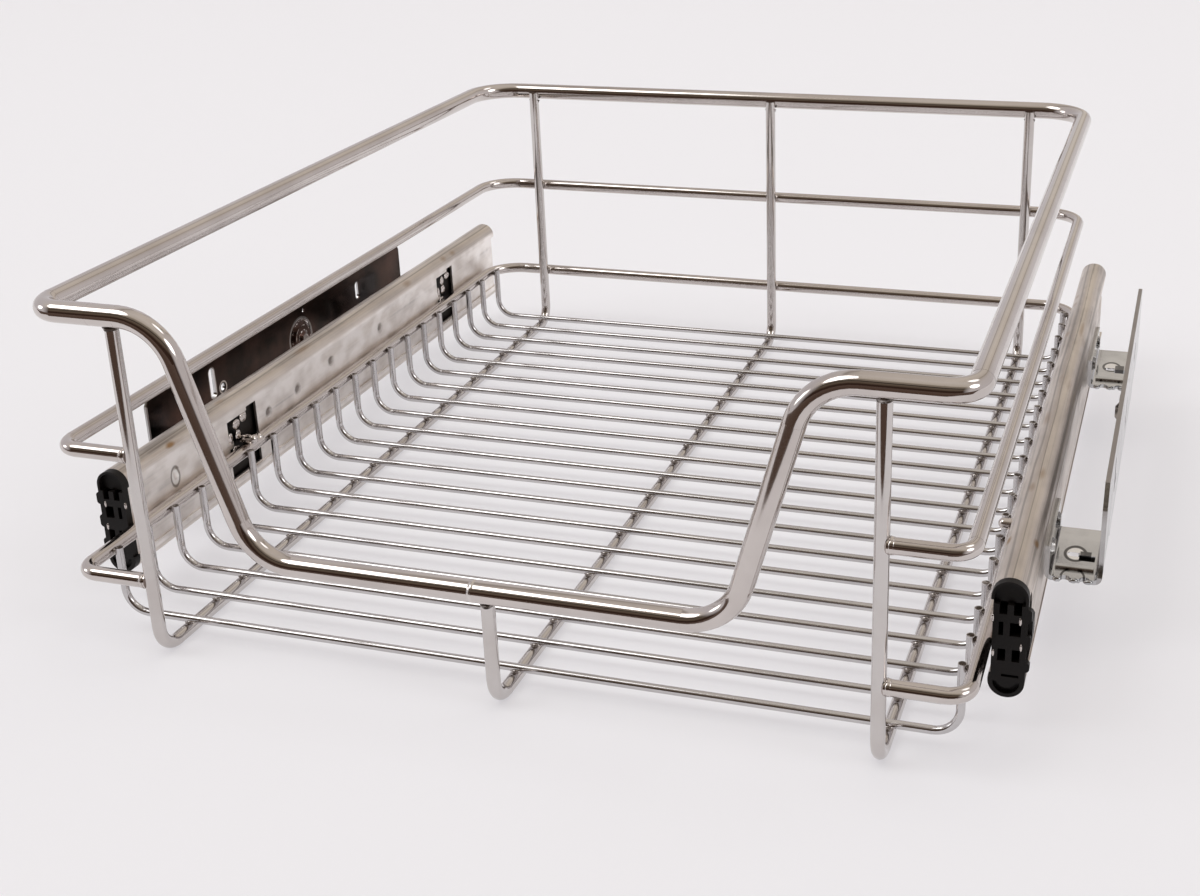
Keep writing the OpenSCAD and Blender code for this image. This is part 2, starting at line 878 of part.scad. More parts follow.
module oblong(length, width, depth) {
    for (z = [(width - length) / 2, (length - width) / 2])
        translate([0, 0, z])
            rotate([0, 90, 0])
                cylinder(d = width, h = depth, center = true);
    cube([depth, width, length - width], center = true);
}

module mounting_rail(side) {
    plate_x = rail_reach - rail_sheet;
    color("gray")
        difference() {
            mirrored(side)
                translate([slide_x + slide_depth, rail_y, rail_z])
                    difference() {
                        union() {
                            translate([plate_x, 0, 0])
                                rail_plate();
                            bracket(front_bracket_len);
                            translate([0, rail_len - rear_bracket_len, 0])
                                bracket(rear_bracket_len);
                        }
                        bracket_slot(front_bracket_len);
                        translate([0, rail_len - rear_bracket_len, 0])
                            bracket_slot(rear_bracket_len);
                        plate_holes();
                    }
            rivet_places(side)
                cylinder(d = rivet_d, h = 4 * rail_sheet, center = true);
        }
}

// Two upright oblong slots, a round screw hole and the hollow of the drawn cup
module plate_holes() {
    middle_x = rail_reach - rail_sheet / 2;
    for (slot = [[front_slot_at, front_slot_len], [rear_slot_at, rear_slot_len]])
        translate([middle_x, slot.x, slot_z])
            oblong(slot.y, slot_w, 4 * rail_sheet);
    for (hole = [[screw_hole_at, screw_hole_z, screw_hole], [lead_hole_at, lead_hole_z, lead_hole]])
        translate([middle_x, hole.x, hole.y])
            rotate([0, 90, 0])
                cylinder(d = hole.z, h = 4 * rail_sheet, center = true);
    translate([rail_reach + over, cup_at, cup_z])
        rotate([0, -90, 0])
            cylinder(
                d1 = cup_d - 2 * rail_sheet + cup_taper, d2 = cup_d - 2 * rail_sheet - 6 * cup_taper,
                h = cup_rise + over
            );
}

// The plate, with its lower edge cut away where the brackets fold out of it
module rail_plate() {
    difference() {
        rotate([90, 0, 90])
            linear_extrude(rail_sheet)
                polygon([
                    [front_edge, 0], [rail_len, 0], [rail_len, rail_h - rear_corner.y],
                    [rail_len - rear_corner.x, rail_h], [front_edge + front_corner.x, rail_h],
                    [front_edge, rail_h - front_corner.y]
                ]);
        translate([-over, -over, -over])
            cube([rail_sheet + 2 * over, front_bracket_len + over, rail_bend + over]);
        translate([-over, rail_len - rear_bracket_len, -over])
            cube([rail_sheet + 2 * over, rear_bracket_len + over, rail_bend + over]);
    }
    translate([0, cup_at, cup_z])
        rotate([0, -90, 0])
            cylinder(d1 = cup_d, d2 = cup_d - 6 * cup_taper, h = cup_rise);
    translate([-cup_rise, cup_at, cup_z])
        rotate([0, -90, 0])
            cylinder(d1 = cup_dome, d2 = cup_dome - 4 * cup_taper, h = 1.6 * cup_taper);
}

module left_mounting_rail() {
    mounting_rail(-1);
}

module right_mounting_rail() {
    mounting_rail(1);
}

// Rivets that hold the rails' flanges to the cabinet members
module rivet_places(side) {
    mirrored(side)
        for (y = [
            rail_y + rivet_inset, rail_y + front_bracket_len - rivet_inset,
            rear_bracket_y + rivet_inset, rear_bracket_y + rear_bracket_len - rivet_inset
        ])
            translate([slide_x + slide_depth, y, rivet_z])
                rotate([0, 90, 0])
                    children();
}

module rivets(side) {
    color("lightgray")
        rivet_places(side) {
            translate([0, 0, -member_sheet])
                cylinder(d = rivet_d, h = member_sheet + rail_sheet);
            translate([0, 0, rail_sheet])
                cylinder(d1 = rivet_head, d2 = rivet_head - 1.6, h = rivet_rise);
            translate([0, 0, -member_sheet - rivet_rise])
                cylinder(d1 = rivet_head - 1.6, d2 = rivet_head, h = rivet_rise);
        }
}

module left_rivets() {
    rivets(-1);
}

module right_rivets() {
    rivets(1);
}

top_rim();
middle_rim();
lower_rim();
left_runner();
centre_runner();
right_runner();
floor_wires();
left_peg();
right_peg();
left_wide_member();
right_wide_member();
left_front_cap();
right_front_cap();
left_middle_member();
right_middle_member();
left_cabinet_member();
right_cabinet_member();
left_outer_cage();
right_outer_cage();
left_outer_balls();
right_outer_balls();
left_inner_cage();
right_inner_cage();
left_inner_balls();
right_inner_balls();
left_mounting_rail();
right_mounting_rail();
left_rivets();
right_rivets();
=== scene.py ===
import json
import math
import random

import bpy
from mathutils import Matrix, Vector


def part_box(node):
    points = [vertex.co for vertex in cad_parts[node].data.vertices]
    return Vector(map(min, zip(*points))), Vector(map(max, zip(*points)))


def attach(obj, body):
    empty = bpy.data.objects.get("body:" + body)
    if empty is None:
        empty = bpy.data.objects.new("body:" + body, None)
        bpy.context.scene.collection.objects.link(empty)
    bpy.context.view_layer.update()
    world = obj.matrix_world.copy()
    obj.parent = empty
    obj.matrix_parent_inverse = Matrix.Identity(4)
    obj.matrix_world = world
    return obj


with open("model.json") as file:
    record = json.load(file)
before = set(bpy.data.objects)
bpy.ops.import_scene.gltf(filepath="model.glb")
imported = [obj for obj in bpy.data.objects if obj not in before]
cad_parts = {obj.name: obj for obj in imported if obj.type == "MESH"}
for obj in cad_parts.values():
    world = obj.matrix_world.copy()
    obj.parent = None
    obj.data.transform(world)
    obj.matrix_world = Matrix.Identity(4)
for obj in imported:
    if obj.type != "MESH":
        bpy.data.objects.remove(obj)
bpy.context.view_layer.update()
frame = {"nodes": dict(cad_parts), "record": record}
print("frame loaded:", len(frame["nodes"]), "nodes")

mm = 0.001


# a node's output, so that shader maths can be written as Python
class Field:
    def __init__(self, finish, socket):
        self.finish = finish
        self.socket = socket

    def maths(self, operation, first, second=0.0):
        return self.finish.maths(operation, first, second)

    def __add__(self, other):
        return self.maths("ADD", self, other)

    def __radd__(self, other):
        return self.maths("ADD", other, self)

    def __sub__(self, other):
        return self.maths("SUBTRACT", self, other)

    def __rsub__(self, other):
        return self.maths("SUBTRACT", other, self)

    def __mul__(self, other):
        return self.maths("MULTIPLY", self, other)

    def __rmul__(self, other):
        return self.maths("MULTIPLY", other, self)

    def __truediv__(self, other):
        return self.maths("DIVIDE", self, other)

    def __rtruediv__(self, other):
        return self.maths("DIVIDE", other, self)

    def __pow__(self, other):
        return self.maths("POWER", self, other)

    def __rpow__(self, other):
        return self.maths("POWER", other, self)

    def __abs__(self):
        return self.maths("ABSOLUTE", self)


class Finish:
    def __init__(self, owner):
        self.material = owner
        owner.use_nodes = True
        self.tree = owner.node_tree
        self.tree.nodes.clear()

    # any node: settings first, then the values or links of its sockets
    def add(self, kind, settings=None, inputs=None, output=0):
        node = self.tree.nodes.new(kind)
        for name, value in (settings or {}).items():
            if name == "stops":
                ramp = node.color_ramp.elements
                while len(ramp) < len(value):
                    ramp.new(0.5)
                for stop, (place, shade) in zip(ramp, value):
                    stop.position = place
                    stop.color = (*shade, 1)
            else:
                setattr(node, name, value)
        for name, value in (inputs or {}).items():
            if isinstance(value, Field):
                self.tree.links.new(value.socket, node.inputs[name])
            else:
                node.inputs[name].default_value = value
        return Field(self, node.outputs[output]) if node.outputs else None

    def maths(self, operation, first, second=0.0):
        return self.add("ShaderNodeMath", {"operation": operation}, {0: first, 1: second})

    # the object's own coordinates in millimetres, stretched along chosen axes
    def place(self, stretch=(1, 1, 1)):
        where = self.add("ShaderNodeTexCoord", output=3)
        scale = tuple(1000 * s for s in stretch)
        return self.add("ShaderNodeVectorMath", {"operation": "MULTIPLY"}, {0: where, 1: scale})

    # the same coordinates, one by one
    def corners(self):
        where = self.place()
        return [self.add("ShaderNodeSeparateXYZ", {}, {"Vector": where}, output=i) for i in range(3)]

    def noise(self, stretch, size, detail, rough):
        return self.add(
            "ShaderNodeTexNoise", {},
            {"Vector": self.place(stretch), "Scale": 1 / size, "Detail": detail, "Roughness": rough},
        )

    # 0 under the first level of a value, 1 over the second
    def mask(self, value, low, high):
        return self.add(
            "ShaderNodeMapRange", {"clamp": True},
            {"Value": value, "From Min": low, "From Max": high, "To Min": 0.0, "To Max": 1.0},
        )

    # 1 under the first level of a value, 0 over the second
    def fade(self, value, low, high):
        return 1 - self.mask(value, low, high)

    # a noise pulled to 0..1 between two of its levels
    def patches(self, stretch, size, detail, rough, low, high):
        return self.mask(self.noise(stretch, size, detail, rough), low, high)

    def tint(self, amount, first, second):
        mixed = self.add("ShaderNodeMix", {"data_type": "RGBA"}, {"Factor": amount}, output=2)
        node = mixed.socket.node
        for socket, value in ((node.inputs[6], first), (node.inputs[7], second)):
            if isinstance(value, Field):
                self.tree.links.new(value.socket, socket)
            else:
                socket.default_value = (*value, 1)
        return mixed

    # distance from a place in two coordinates, 1 on the ellipse with those half sizes
    def radius(self, first, second, place, halves):
        return (((first - place[0]) / halves[0]) ** 2 + ((second - place[1]) / halves[1]) ** 2) ** 0.5

    # 1 along the line where a value is at a level, 0 past the line's thickness
    def line(self, value, level, thick):
        return self.fade(abs(value - level), thick / 2, thick)

    # the largest or the smallest of several values
    def pick(self, operation, values):
        whole = values[0]
        for value in values[1:]:
            whole = self.maths(operation, whole, value)
        return whole

    def bump(self, height, strength, distance):
        return self.add("ShaderNodeBump", {}, {"Height": height, "Strength": strength, "Distance": distance})

    def close(self, **inputs):
        sockets = {name.replace("_", " "): value for name, value in inputs.items()}
        for name, value in sockets.items():
            if isinstance(value, tuple) and len(value) == 3:
                sockets[name] = (*value, 1)
        shader = self.add("ShaderNodeBsdfPrincipled", {}, sockets)
        self.add("ShaderNodeOutputMaterial", {}, {"Surface": shader})
        return self.material


# in every look, a noise is (stretch, size in mm, detail, roughness), with two levels after it where it is cut,
# a place is in mm, and a pair of levels is where a mask begins and ends; amounts say how strongly each mark
# tints, roughens how much it adds to the roughness, and relief is the bump's strength and distance
chromeLook = {
    "bright": (0.62, 0.575, 0.55),
    "smoky": (0.50, 0.455, 0.43),
    "roughness": 0.055,
    "patches": ((1, 1, 1), 40, 4, 0.6, 0.42, 0.68),
    "haze": ((1, 1, 1), 7, 4, 0.6),
    "pits": ((1, 1, 1), 1.6, 2, 0.5),
    "amounts": {"patches": 0.6, "seam": 0.5},
    "roughens": {"haze": 0.05, "patches": 0.03, "seam": 0.12, "vent": 0.5},
    "heights": {"pits": 0.004, "seam": 0.8},
    "relief": (0.6, 0.0006),
    # a butt weld round the dip's bar, at this x
    "seamX": None,
    "seamRagged": 0.5,
    "seam": (0.72, 0.69, 0.66),
    "seamWidth": (0.25, 1.0),
    "seamUnder": (70, 71),
    "seamBefore": (-190, -189),
    # painted shade of a small hole at the top of the middle upright: a dark oval at (x, z), and its half sizes
    "vent": None,
    "ventHalves": (1.7, 0.75),
    "ventEdge": (0.8, 1.1),
    "ventBefore": (-203, -202),
    "ventShade": (0.01, 0.008, 0.007),
}


# bright plate over drawn wire: faint smoky patches, haze and fine pits
def makeChrome(name, look=chromeLook):
    finish = Finish(bpy.data.materials.new(name))
    amounts, roughens, heights = look["amounts"], look["roughens"], look["heights"]
    patches = finish.patches(*look["patches"])
    haze = finish.noise(*look["haze"])
    tone = finish.tint(patches * amounts["patches"], look["bright"], look["smoky"])
    roughness = look["roughness"] + haze * roughens["haze"] + patches * roughens["patches"]
    height = finish.noise(*look["pits"]) * heights["pits"]
    if look["seamX"] is not None:
        x, y, z = finish.corners()
        beside = abs(x - look["seamX"] + (haze - 0.5) * look["seamRagged"])
        dip = finish.fade(z, *look["seamUnder"])
        bead = finish.fade(beside, *look["seamWidth"]) * dip * finish.fade(y, *look["seamBefore"])
        tone = finish.tint(bead * amounts["seam"], tone, look["seam"])
        roughness = roughness + bead * roughens["seam"]
        height = height + bead * heights["seam"]
    if look["vent"] is not None:
        x, y, z = finish.corners()
        around = finish.radius(x, z, look["vent"], look["ventHalves"])
        # painted shade: a dark oval on the middle upright's front stands for the shade in a small hole
        vent = finish.fade(around, *look["ventEdge"]) * finish.fade(y, *look["ventBefore"])
        tone = finish.tint(vent, tone, look["ventShade"])
        roughness = roughness + vent * roughens["vent"]
    return finish.close(
        Base_Color=tone,
        Metallic=1.0,
        Roughness=roughness,
        Normal=finish.bump(height, *look["relief"]),
    )


zincLook = {
    "bright": (0.69, 0.625, 0.565),
    "dull": (0.47, 0.425, 0.395),
    "groove": (0.25, 0.225, 0.205),
    "stain": (0.36, 0.26, 0.185),
    "roughness": 0.25,
    "streaks": ((1, 0.02, 1), 1.6, 4, 0.6),
    "lines": ((1, 0.006, 1), 0.9, 3, 0.6, 0.46, 0.62),
    "grooves": ((1, 0.004, 1), 1.5, 2, 0.4, 0.56, 0.66),
    "blotches": ((1, 0.3, 1), 16, 4, 0.6, 0.42, 0.66),
    "browning": ((1, 0.12, 1), 9, 5, 0.65, 0.56, 0.74),
    "smears": ((1, 0.5, 1.6), 11, 2, 0.4, 0.40, 0.66),
    "amounts": {
        "blotches": 0.55, "lines": 0.3, "grooves": 0.75, "browning": 0.65, "web": 0.45, "sheen": 0.45,
        "darkDimple": 0.8, "ring": 0.75, "arch": 0.55, "rust": 0.85, "spots": 0.42,
    },
    "roughens": {"streaks": 0.12, "blotches": 0.08, "smears": 0.10, "insideShade": 0.1},
    "smearHeight": 1.2,
    "relief": (0.16, 0.0006),
    # near-black painted shade over the web of an inner member, which sits in shadow inside the slide, out to these x
    "insideShadeX": None,
    "insideShadeHalf": (16.5, 18.0),
    "insideShade": (0.030, 0.026, 0.024),
    # the flat web: how far out it is, its middle height and its half height
    "webX": (174.6, 175.0),
    "webZ": 35.8,
    "webHalf": (17, 18.5),
    "polished": (0.97, 0.93, 0.90),
    "sheen": ((0.3, 0.8, 1.2), 9, 2, 0.4, 0.38, 0.62),
    # marks on the web, as (y, z): dark marks at dimples, a shallow ring drawn with a painted shade line and a
    # painted highlight, a rusty spot
    "darkDimpleMarks": [(-55, 40.9), (-28.2, 42.0), (4.6, 44.1), (57, 43.4)],
    "darkDimpleHalves": (2.5, 2.5),
    "darkDimple": (0.16, 0.13, 0.115),
    "ringAt": (-130.3, 41.4),
    "ringHalves": (2.7, 3.9),
    "ringThick": 0.36,
    "ringLevels": (1.0, 0.68),
    "ringShade": (0.15, 0.125, 0.105),
    "ringHighlight": (0.90, 0.88, 0.85),
    "rustAt": (-130.1, 55.9),
    "rustHalves": (3.0, 1.0),
    "rust": (0.30, 0.165, 0.06),
    "worn": (0.5, 1.3),
    "ragged": 0.8,
    # drawing lines over the track's arch: how far out, and their thickness
    "arch": [(177.0, 0.5), (179.6, 0.3), (184.9, 0.5)],
    "archOver": (50, 50.6),
    "wander": ((0.3, 0.02, 0.3), 1.6, 2, 0.4),
    "wanderBy": 2.4,
    # brown spots on top of the tracks, as (how far out, y), and their half sizes
    "spots": [
        ((174.9, 93), (1.6, 4)), ((175.1, 139), (1.2, 3)), ((175.1, 151), (1.2, 3)), ((180.6, -74), (1.2, 5)),
        ((178, -87), (1.2, 4)), ((176.6, -16), (1.2, 8)), ((181.5, 98), (1.0, 9)),
    ],
    "spotsOver": (54.5, 55.5),
    "spotWorn": (0.3, 1.3),
    "spotRagged": 2,
}


# the wide members: a web painted lighter with painted sheen bands, its marks, drawing lines over the arch and brown
# spots on top
def markWideMember(finish, look, tone, streaks):
    amounts = look["amounts"]
    x, y, z = finish.corners()
    ragged = (streaks - 0.5) * look["ragged"]
    web = finish.fade(abs(x), *look["webX"]) * finish.fade(abs(z - look["webZ"]), *look["webHalf"])
    # painted sheen: the flat web lightened towards a pale tone, more in soft bands, a painted reflection
    sheen = finish.patches(*look["sheen"])
    tone = finish.tint(web * (amounts["web"] + sheen * amounts["sheen"]), tone, look["polished"])
    dimples = [finish.radius(y, z, at, look["darkDimpleHalves"]) for at in look["darkDimpleMarks"]]
    darkDimple = finish.fade(finish.pick("MINIMUM", dimples) + ragged, *look["worn"])
    tone = finish.tint(darkDimple * amounts["darkDimple"], tone, look["darkDimple"])
    # the ring: a painted shade line round it and a painted highlight just inside
    ring = finish.radius(y, z, look["ringAt"], look["ringHalves"])
    outer, rim = (finish.line(ring, level, look["ringThick"]) for level in look["ringLevels"])
    tone = finish.tint(outer * amounts["ring"], tone, look["ringShade"])
    tone = finish.tint(rim, tone, look["ringHighlight"])
    aside = abs(x) + (finish.noise(*look["wander"]) - 0.5) * look["wanderBy"]
    top = finish.mask(z, *look["archOver"])
    for level, thick in look["arch"]:
        tone = finish.tint(finish.line(aside, level, thick) * top * amounts["arch"], tone, look["groove"])
    rust = finish.fade(finish.radius(y, z, look["rustAt"], look["rustHalves"]) + ragged, *look["worn"])
    tone = finish.tint(rust * amounts["rust"], tone, look["rust"])
    beside = abs(x) + ragged * look["spotRagged"]
    spots = [finish.fade(finish.radius(beside, y, *spot) + ragged, *look["spotWorn"]) for spot in look["spots"]]
    spots = finish.pick("MAXIMUM", spots) * finish.mask(z, *look["spotsOver"])
    return finish.tint(spots * amounts["spots"], tone, look["rust"])


# cold-rolled zinc: streaks along the slide, blotches and a little brown staining, and painted shade over the inner
# members' webs
def makeZinc(name, look=zincLook):
    finish = Finish(bpy.data.materials.new(name))
    amounts, roughens = look["amounts"], look["roughens"]
    streaks = finish.noise(*look["streaks"])
    blotches = finish.patches(*look["blotches"])
    smears = finish.patches(*look["smears"])
    dull = blotches * amounts["blotches"] + finish.patches(*look["lines"]) * amounts["lines"]
    tone = finish.tint(dull, look["bright"], look["dull"])
    tone = finish.tint(finish.patches(*look["grooves"]) * blotches * amounts["grooves"], tone, look["groove"])
    tone = finish.tint(finish.patches(*look["browning"]) * amounts["browning"], tone, look["stain"])
    roughness = look["roughness"] + streaks * roughens["streaks"] + blotches * roughens["blotches"]
    roughness = roughness + smears * roughens["smears"]
    if look["insideShadeX"] is None:
        tone = markWideMember(finish, look, tone, streaks)
    else:
        # painted shade: the inner members' webs go near black, as they sit in shadow behind the windows
        x, y, z = finish.corners()
        web = finish.fade(abs(z - look["webZ"]), *look["insideShadeHalf"])
        insideShade = finish.fade(abs(x), *look["insideShadeX"]) * web
        tone = finish.tint(insideShade, tone, look["insideShade"])
        roughness = roughness + insideShade * roughens["insideShade"]
    return finish.close(
        Base_Color=tone,
        Metallic=1.0,
        Roughness=roughness,
        Normal=finish.bump(streaks + smears * look["smearHeight"], *look["relief"]),
    )


plateLook = {
    "bright": (0.61, 0.61, 0.615),
    "dark": (0.33, 0.335, 0.34),
    "roughness": 0.10,
    "clouds": ((1, 1, 1), 22, 4, 0.6, 0.38, 0.7),
    "waves": ((1, 0.6, 1), 26, 1, 0.4),
    "grain": ((1, 0.1, 1), 1.2, 3, 0.5),
    "amounts": {"clouds": 0.55, "dark": 0.88, "slot": 0.5, "screw": 0.7, "edge": 0.85, "front": 0.45, "upper": 0.5},
    "roughens": {"grain": 0.06, "clouds": 0.06, "edge": 0.2},
    "grainHeight": 0.04,
    "relief": (0.25, 0.002),
    # the left plate's inner face, painted near black with brown, a painted reflection of the dark gap beside it: the
    # x it begins and ends at, and how far the drawn cup carries it
    "innerFrom": (-206.2, -205.9),
    "innerTo": (-205.0, -204.4),
    "inner": (0.030, 0.023, 0.021),
    "brown": (0.105, 0.060, 0.048),
    "cup": (30.1, 44.6),
    "cupWall": (11.4, 12),
    "cupRise": 2.5,
    "cupBack": 0.36,
    # painted highlights on it: broken bright rings in the cup, the front slot's rim and the screw's rim, places as
    # (y, z)
    "glint": (0.92, 0.89, 0.87),
    "rings": (0.75, 0.97),
    "ringTurns": 2.6,
    "ringBend": 4,
    "ringsWithin": (10.5, 11),
    "ringBreaks": ((1, 1, 1), 2.2, 2, 0.5, 0.47, 0.56),
    "slot": (-50.9, 50.5),
    "slotHalf": 5.2,
    "slotRim": 2.5,
    "screw": (-42.9, 45.5),
    "screwRim": 2.9,
    "rimThick": 0.5,
    # the brackets' shelves: y of the pressed rib and of the lanced slot in each
    "shelves": [(-106.4, -86.7), (97.6, 119.3)],
    "shelfUnder": (32.3, 32.6),
    "shelfWithin": (203.4, 204),
    "slotX": 195.8,
    "slotHalves": (3.8, 5.8),
    "slotInner": (0.78, 0.9),
    "slotLine": (1.02, 0.2),
    "slotPast": (0.98, 1.03),
    "shadeBack": 1.1,
    "shadeHalves": (4.0, 6.0),
    "shadeEdge": (0.96, 1.02),
    "ribX": 196.2,
    "ribHalves": (4.3, 7.2),
    "ribLine": (1.0, 0.13),
    "openingX": 199.6,
    "openingAhead": 0.4,
    "openingSquash": 0.7,
    "opening": (2.0, 2.2),
    # the painted highlight on the tongues and the painted shade on the shelves
    "pale": (0.86, 0.85, 0.85),
    "black": (0.035, 0.03, 0.028),
    # the sheet's cut edges along the top and down the front, painted darker, the front edge darker still towards its
    # top
    "edge": (0.27, 0.24, 0.225),
    "topEdge": (66.3, 66.7),
    "frontEdge": (-101.3, -101.0),
    "frontPast": (204.9, 205.1),
    "frontUpper": (52, 60),
}


# on each shelf, painted light and shade: a painted highlight on the lanced tongue, painted shade along its outline,
# behind it, in the square opening beside it and along the rib's rear edge
def markShelves(finish, look, tone):
    x, y, z = finish.corners()
    beside = abs(x)
    pale, dark = [], []
    for ribY, slotY in look["shelves"]:
        tongue = finish.radius(beside, y, (look["slotX"], slotY), look["slotHalves"])
        shade = finish.radius(beside, y, (look["slotX"], slotY + look["shadeBack"]), look["shadeHalves"])
        rib = finish.radius(beside, y, (look["ribX"], ribY), look["ribHalves"])
        along = abs(y - slotY + look["openingAhead"]) * look["openingSquash"]
        opening = finish.maths("MAXIMUM", abs(beside - look["openingX"]), along)
        pale.append(finish.fade(tongue, *look["slotInner"]))
        dark += [
            finish.line(tongue, *look["slotLine"]),
            finish.line(rib, *look["ribLine"]) * finish.mask(y, ribY, ribY + 1),
            finish.fade(shade, *look["shadeEdge"]) * finish.mask(tongue, *look["slotPast"]),
            finish.fade(opening, *look["opening"]),
        ]
    shelf = finish.fade(z, *look["shelfUnder"]) * finish.fade(beside, *look["shelfWithin"])
    tone = finish.tint(finish.pick("MAXIMUM", pale) * shelf, tone, look["pale"])
    return finish.tint(finish.pick("MAXIMUM", dark) * shelf * look["amounts"]["dark"], tone, look["black"])


# bright zinc plate, slightly wavy and cloudy, with a painted dark reflection and painted highlights on the left
# plate's inner face
def makePlate(name, look=plateLook):
    finish = Finish(bpy.data.materials.new(name))
    amounts, roughens = look["amounts"], look["roughens"]
    clouds = finish.patches(*look["clouds"])
    grain = finish.noise(*look["grain"])
    x, y, z = finish.corners()
    cup = finish.radius(y, z, look["cup"], (1, 1))
    rise = finish.fade(cup, *look["cupWall"]) * look["cupRise"]
    # painted reflection: the left plate's inner face darkened, as a mirror of the dark gap beside it
    inner = finish.mask(x - rise * look["cupBack"], *look["innerFrom"]) * finish.fade(x - rise, *look["innerTo"])
    tone = finish.tint(clouds * amounts["clouds"], look["bright"], look["dark"])
    tone = markShelves(finish, look, tone)
    tone = finish.tint(inner, tone, finish.tint(clouds, look["inner"], look["brown"]))

    # painted highlights: broken rings in the cup and bright rims at the slot and the screw
    rings = finish.maths("SINE", cup * look["ringTurns"] + clouds * look["ringBend"])
    rings = finish.mask(rings, *look["rings"])
    rings = rings * finish.fade(cup, *look["ringsWithin"]) * finish.patches(*look["ringBreaks"])
    past = finish.maths("MAXIMUM", abs(z - look["slot"][1]) - look["slotHalf"], 0)
    slot = finish.radius(y, past, (look["slot"][0], 0), (1, 1))
    slot = finish.line(slot, look["slotRim"], look["rimThick"])
    screw = finish.line(finish.radius(y, z, look["screw"], (1, 1)), look["screwRim"], look["rimThick"])
    glints = finish.pick("MAXIMUM", [rings, slot * amounts["slot"], screw * amounts["screw"]]) * inner

    front = finish.fade(y, *look["frontEdge"]) * finish.mask(abs(x), *look["frontPast"])
    front = front * (amounts["front"] + amounts["upper"] * finish.mask(z, *look["frontUpper"]))
    edge = finish.maths("MAXIMUM", finish.mask(z, *look["topEdge"]), front)
    tone = finish.tint(edge * amounts["edge"], tone, look["edge"])
    roughness = look["roughness"] + grain * roughens["grain"] + clouds * roughens["clouds"]
    return finish.close(
        Base_Color=finish.tint(glints, tone, look["glint"]),
        Metallic=1.0,
        Roughness=roughness + edge * roughens["edge"],
        Normal=finish.bump(finish.noise(*look["waves"]) + grain * look["grainHeight"], *look["relief"]),
    )


plasticLook = {
    "black": (0.006, 0.0045, 0.004),
    "dusty": (0.014, 0.011, 0.010),
    "roughness": 0.42,
    "shine": 0.18,
    "dust": ((1, 1, 1), 7, 4, 0.6, 0.45, 0.72),
    "grain": ((1, 1, 1), 0.6, 2, 0.5),
    "amounts": {"dust": 0.6},
    "roughens": {"dust": 0.14},
    "relief": (0.15, 0.0002),
}


# moulded black plastic with a little dust on it
def makePlastic(name, look=plasticLook):
    finish = Finish(bpy.data.materials.new(name))
    dust = finish.patches(*look["dust"])
    return finish.close(
        Base_Color=finish.tint(dust * look["amounts"]["dust"], look["black"], look["dusty"]),
        Roughness=look["roughness"] + dust * look["roughens"]["dust"],
        Specular_IOR_Level=look["shine"],
        Normal=finish.bump(finish.noise(*look["grain"]), *look["relief"]),
    )


steelLook = {
    "bright": (0.62, 0.61, 0.60),
    "oiled": (0.33, 0.31, 0.28),
    "roughness": 0.16,
    "oil": ((1, 1, 1), 5, 4, 0.6, 0.42, 0.7),
    "grain": ((1, 0.2, 1), 0.9, 2, 0.5),
    "amounts": {"oil": 0.7},
    "roughens": {"grain": 0.1, "oil": 0.1},
    "relief": (0.08, 0.0002),
}


# plain steel with a film of oil
def makeSteel(name, look=steelLook):
    finish = Finish(bpy.data.materials.new(name))
    oil = finish.patches(*look["oil"])
    grain = finish.noise(*look["grain"])
    roughens = look["roughens"]
    return finish.close(
        Base_Color=finish.tint(oil * look["amounts"]["oil"], look["bright"], look["oiled"]),
        Metallic=1.0,
        Roughness=look["roughness"] + grain * roughens["grain"] + oil * roughens["oil"],
        Normal=finish.bump(grain, *look["relief"]),
    )


weldLook = {
    "bead": (0.42, 0.39, 0.37),
    "scorch": (0.07, 0.052, 0.042),
    "roughness": 0.26,
    "heat": ((1, 1, 1), 2.6, 4, 0.6, 0.36, 0.54),
    "lumps": ((1, 1, 1), 0.8, 3, 0.6),
    "roughens": {"heat": 0.25},
    "relief": (0.35, 0.0004),
    "metallic": 0.9,
}


# plated weld metal, lumpy, browned where the heat lay
def makeWeld(name, look=weldLook):
    finish = Finish(bpy.data.materials.new(name))
    heat = finish.patches(*look["heat"])
    return finish.close(
        Base_Color=finish.tint(heat, look["bead"], look["scorch"]),
        Metallic=look["metallic"],
        Roughness=look["roughness"] + heat * look["roughens"]["heat"],
        Normal=finish.bump(finish.noise(*look["lumps"]), *look["relief"]),
    )


rimLook = {**chromeLook, "seamX": -2.9}
runnerLook = {**chromeLook, "bright": (0.61, 0.58, 0.565), "vent": (1.9, 43.5)}
floorLook = {**chromeLook, "bright": (0.60, 0.58, 0.58), "smoky": (0.44, 0.43, 0.435), "roughness": 0.08}

finishes = {
    "rim_chrome": makeChrome("rimChrome", rimLook),
    "runner_chrome": makeChrome("runnerChrome", runnerLook),
    "floor_chrome": makeChrome("floorChrome", floorLook),
    "peg_chrome": makeChrome("pegChrome"),
    "slide_zinc": makeZinc("slideZinc"),
    "inner_zinc": makeZinc("innerZinc", {**zincLook, "roughness": 0.24, "insideShadeX": (184.4, 185.2)}),
    "cage_steel": makeSteel("cageSteel"),
    "ball_steel": makeSteel("ballSteel", {**steelLook, "roughness": 0.05}),
    "cap_plastic": makePlastic("capPlastic"),
    "rail_steel": makePlate("railSteel"),
    "rivet_steel": makeSteel("rivetSteel"),
}
weldMetal = makeWeld("weldMetal")
crossMetal = makeWeld("crossMetal", {**weldLook, "bead": (0.58, 0.55, 0.54), "scorch": (0.34, 0.30, 0.28)})

nodeSlots = {row["node"]: row["material_slot"] for row in frame["record"]["subparts"]}


def dress(nodeName):
    piece = frame["nodes"][nodeName]
    piece.data.materials.clear()
    piece.data.materials.append(finishes[nodeSlots[nodeName]])


for nodeName in frame["nodes"]:
    dress(nodeName)
print("finishes on", len(nodeSlots), "nodes")


def boxOf(nodeName):
    low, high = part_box(nodeName)
    return low / mm, high / mm


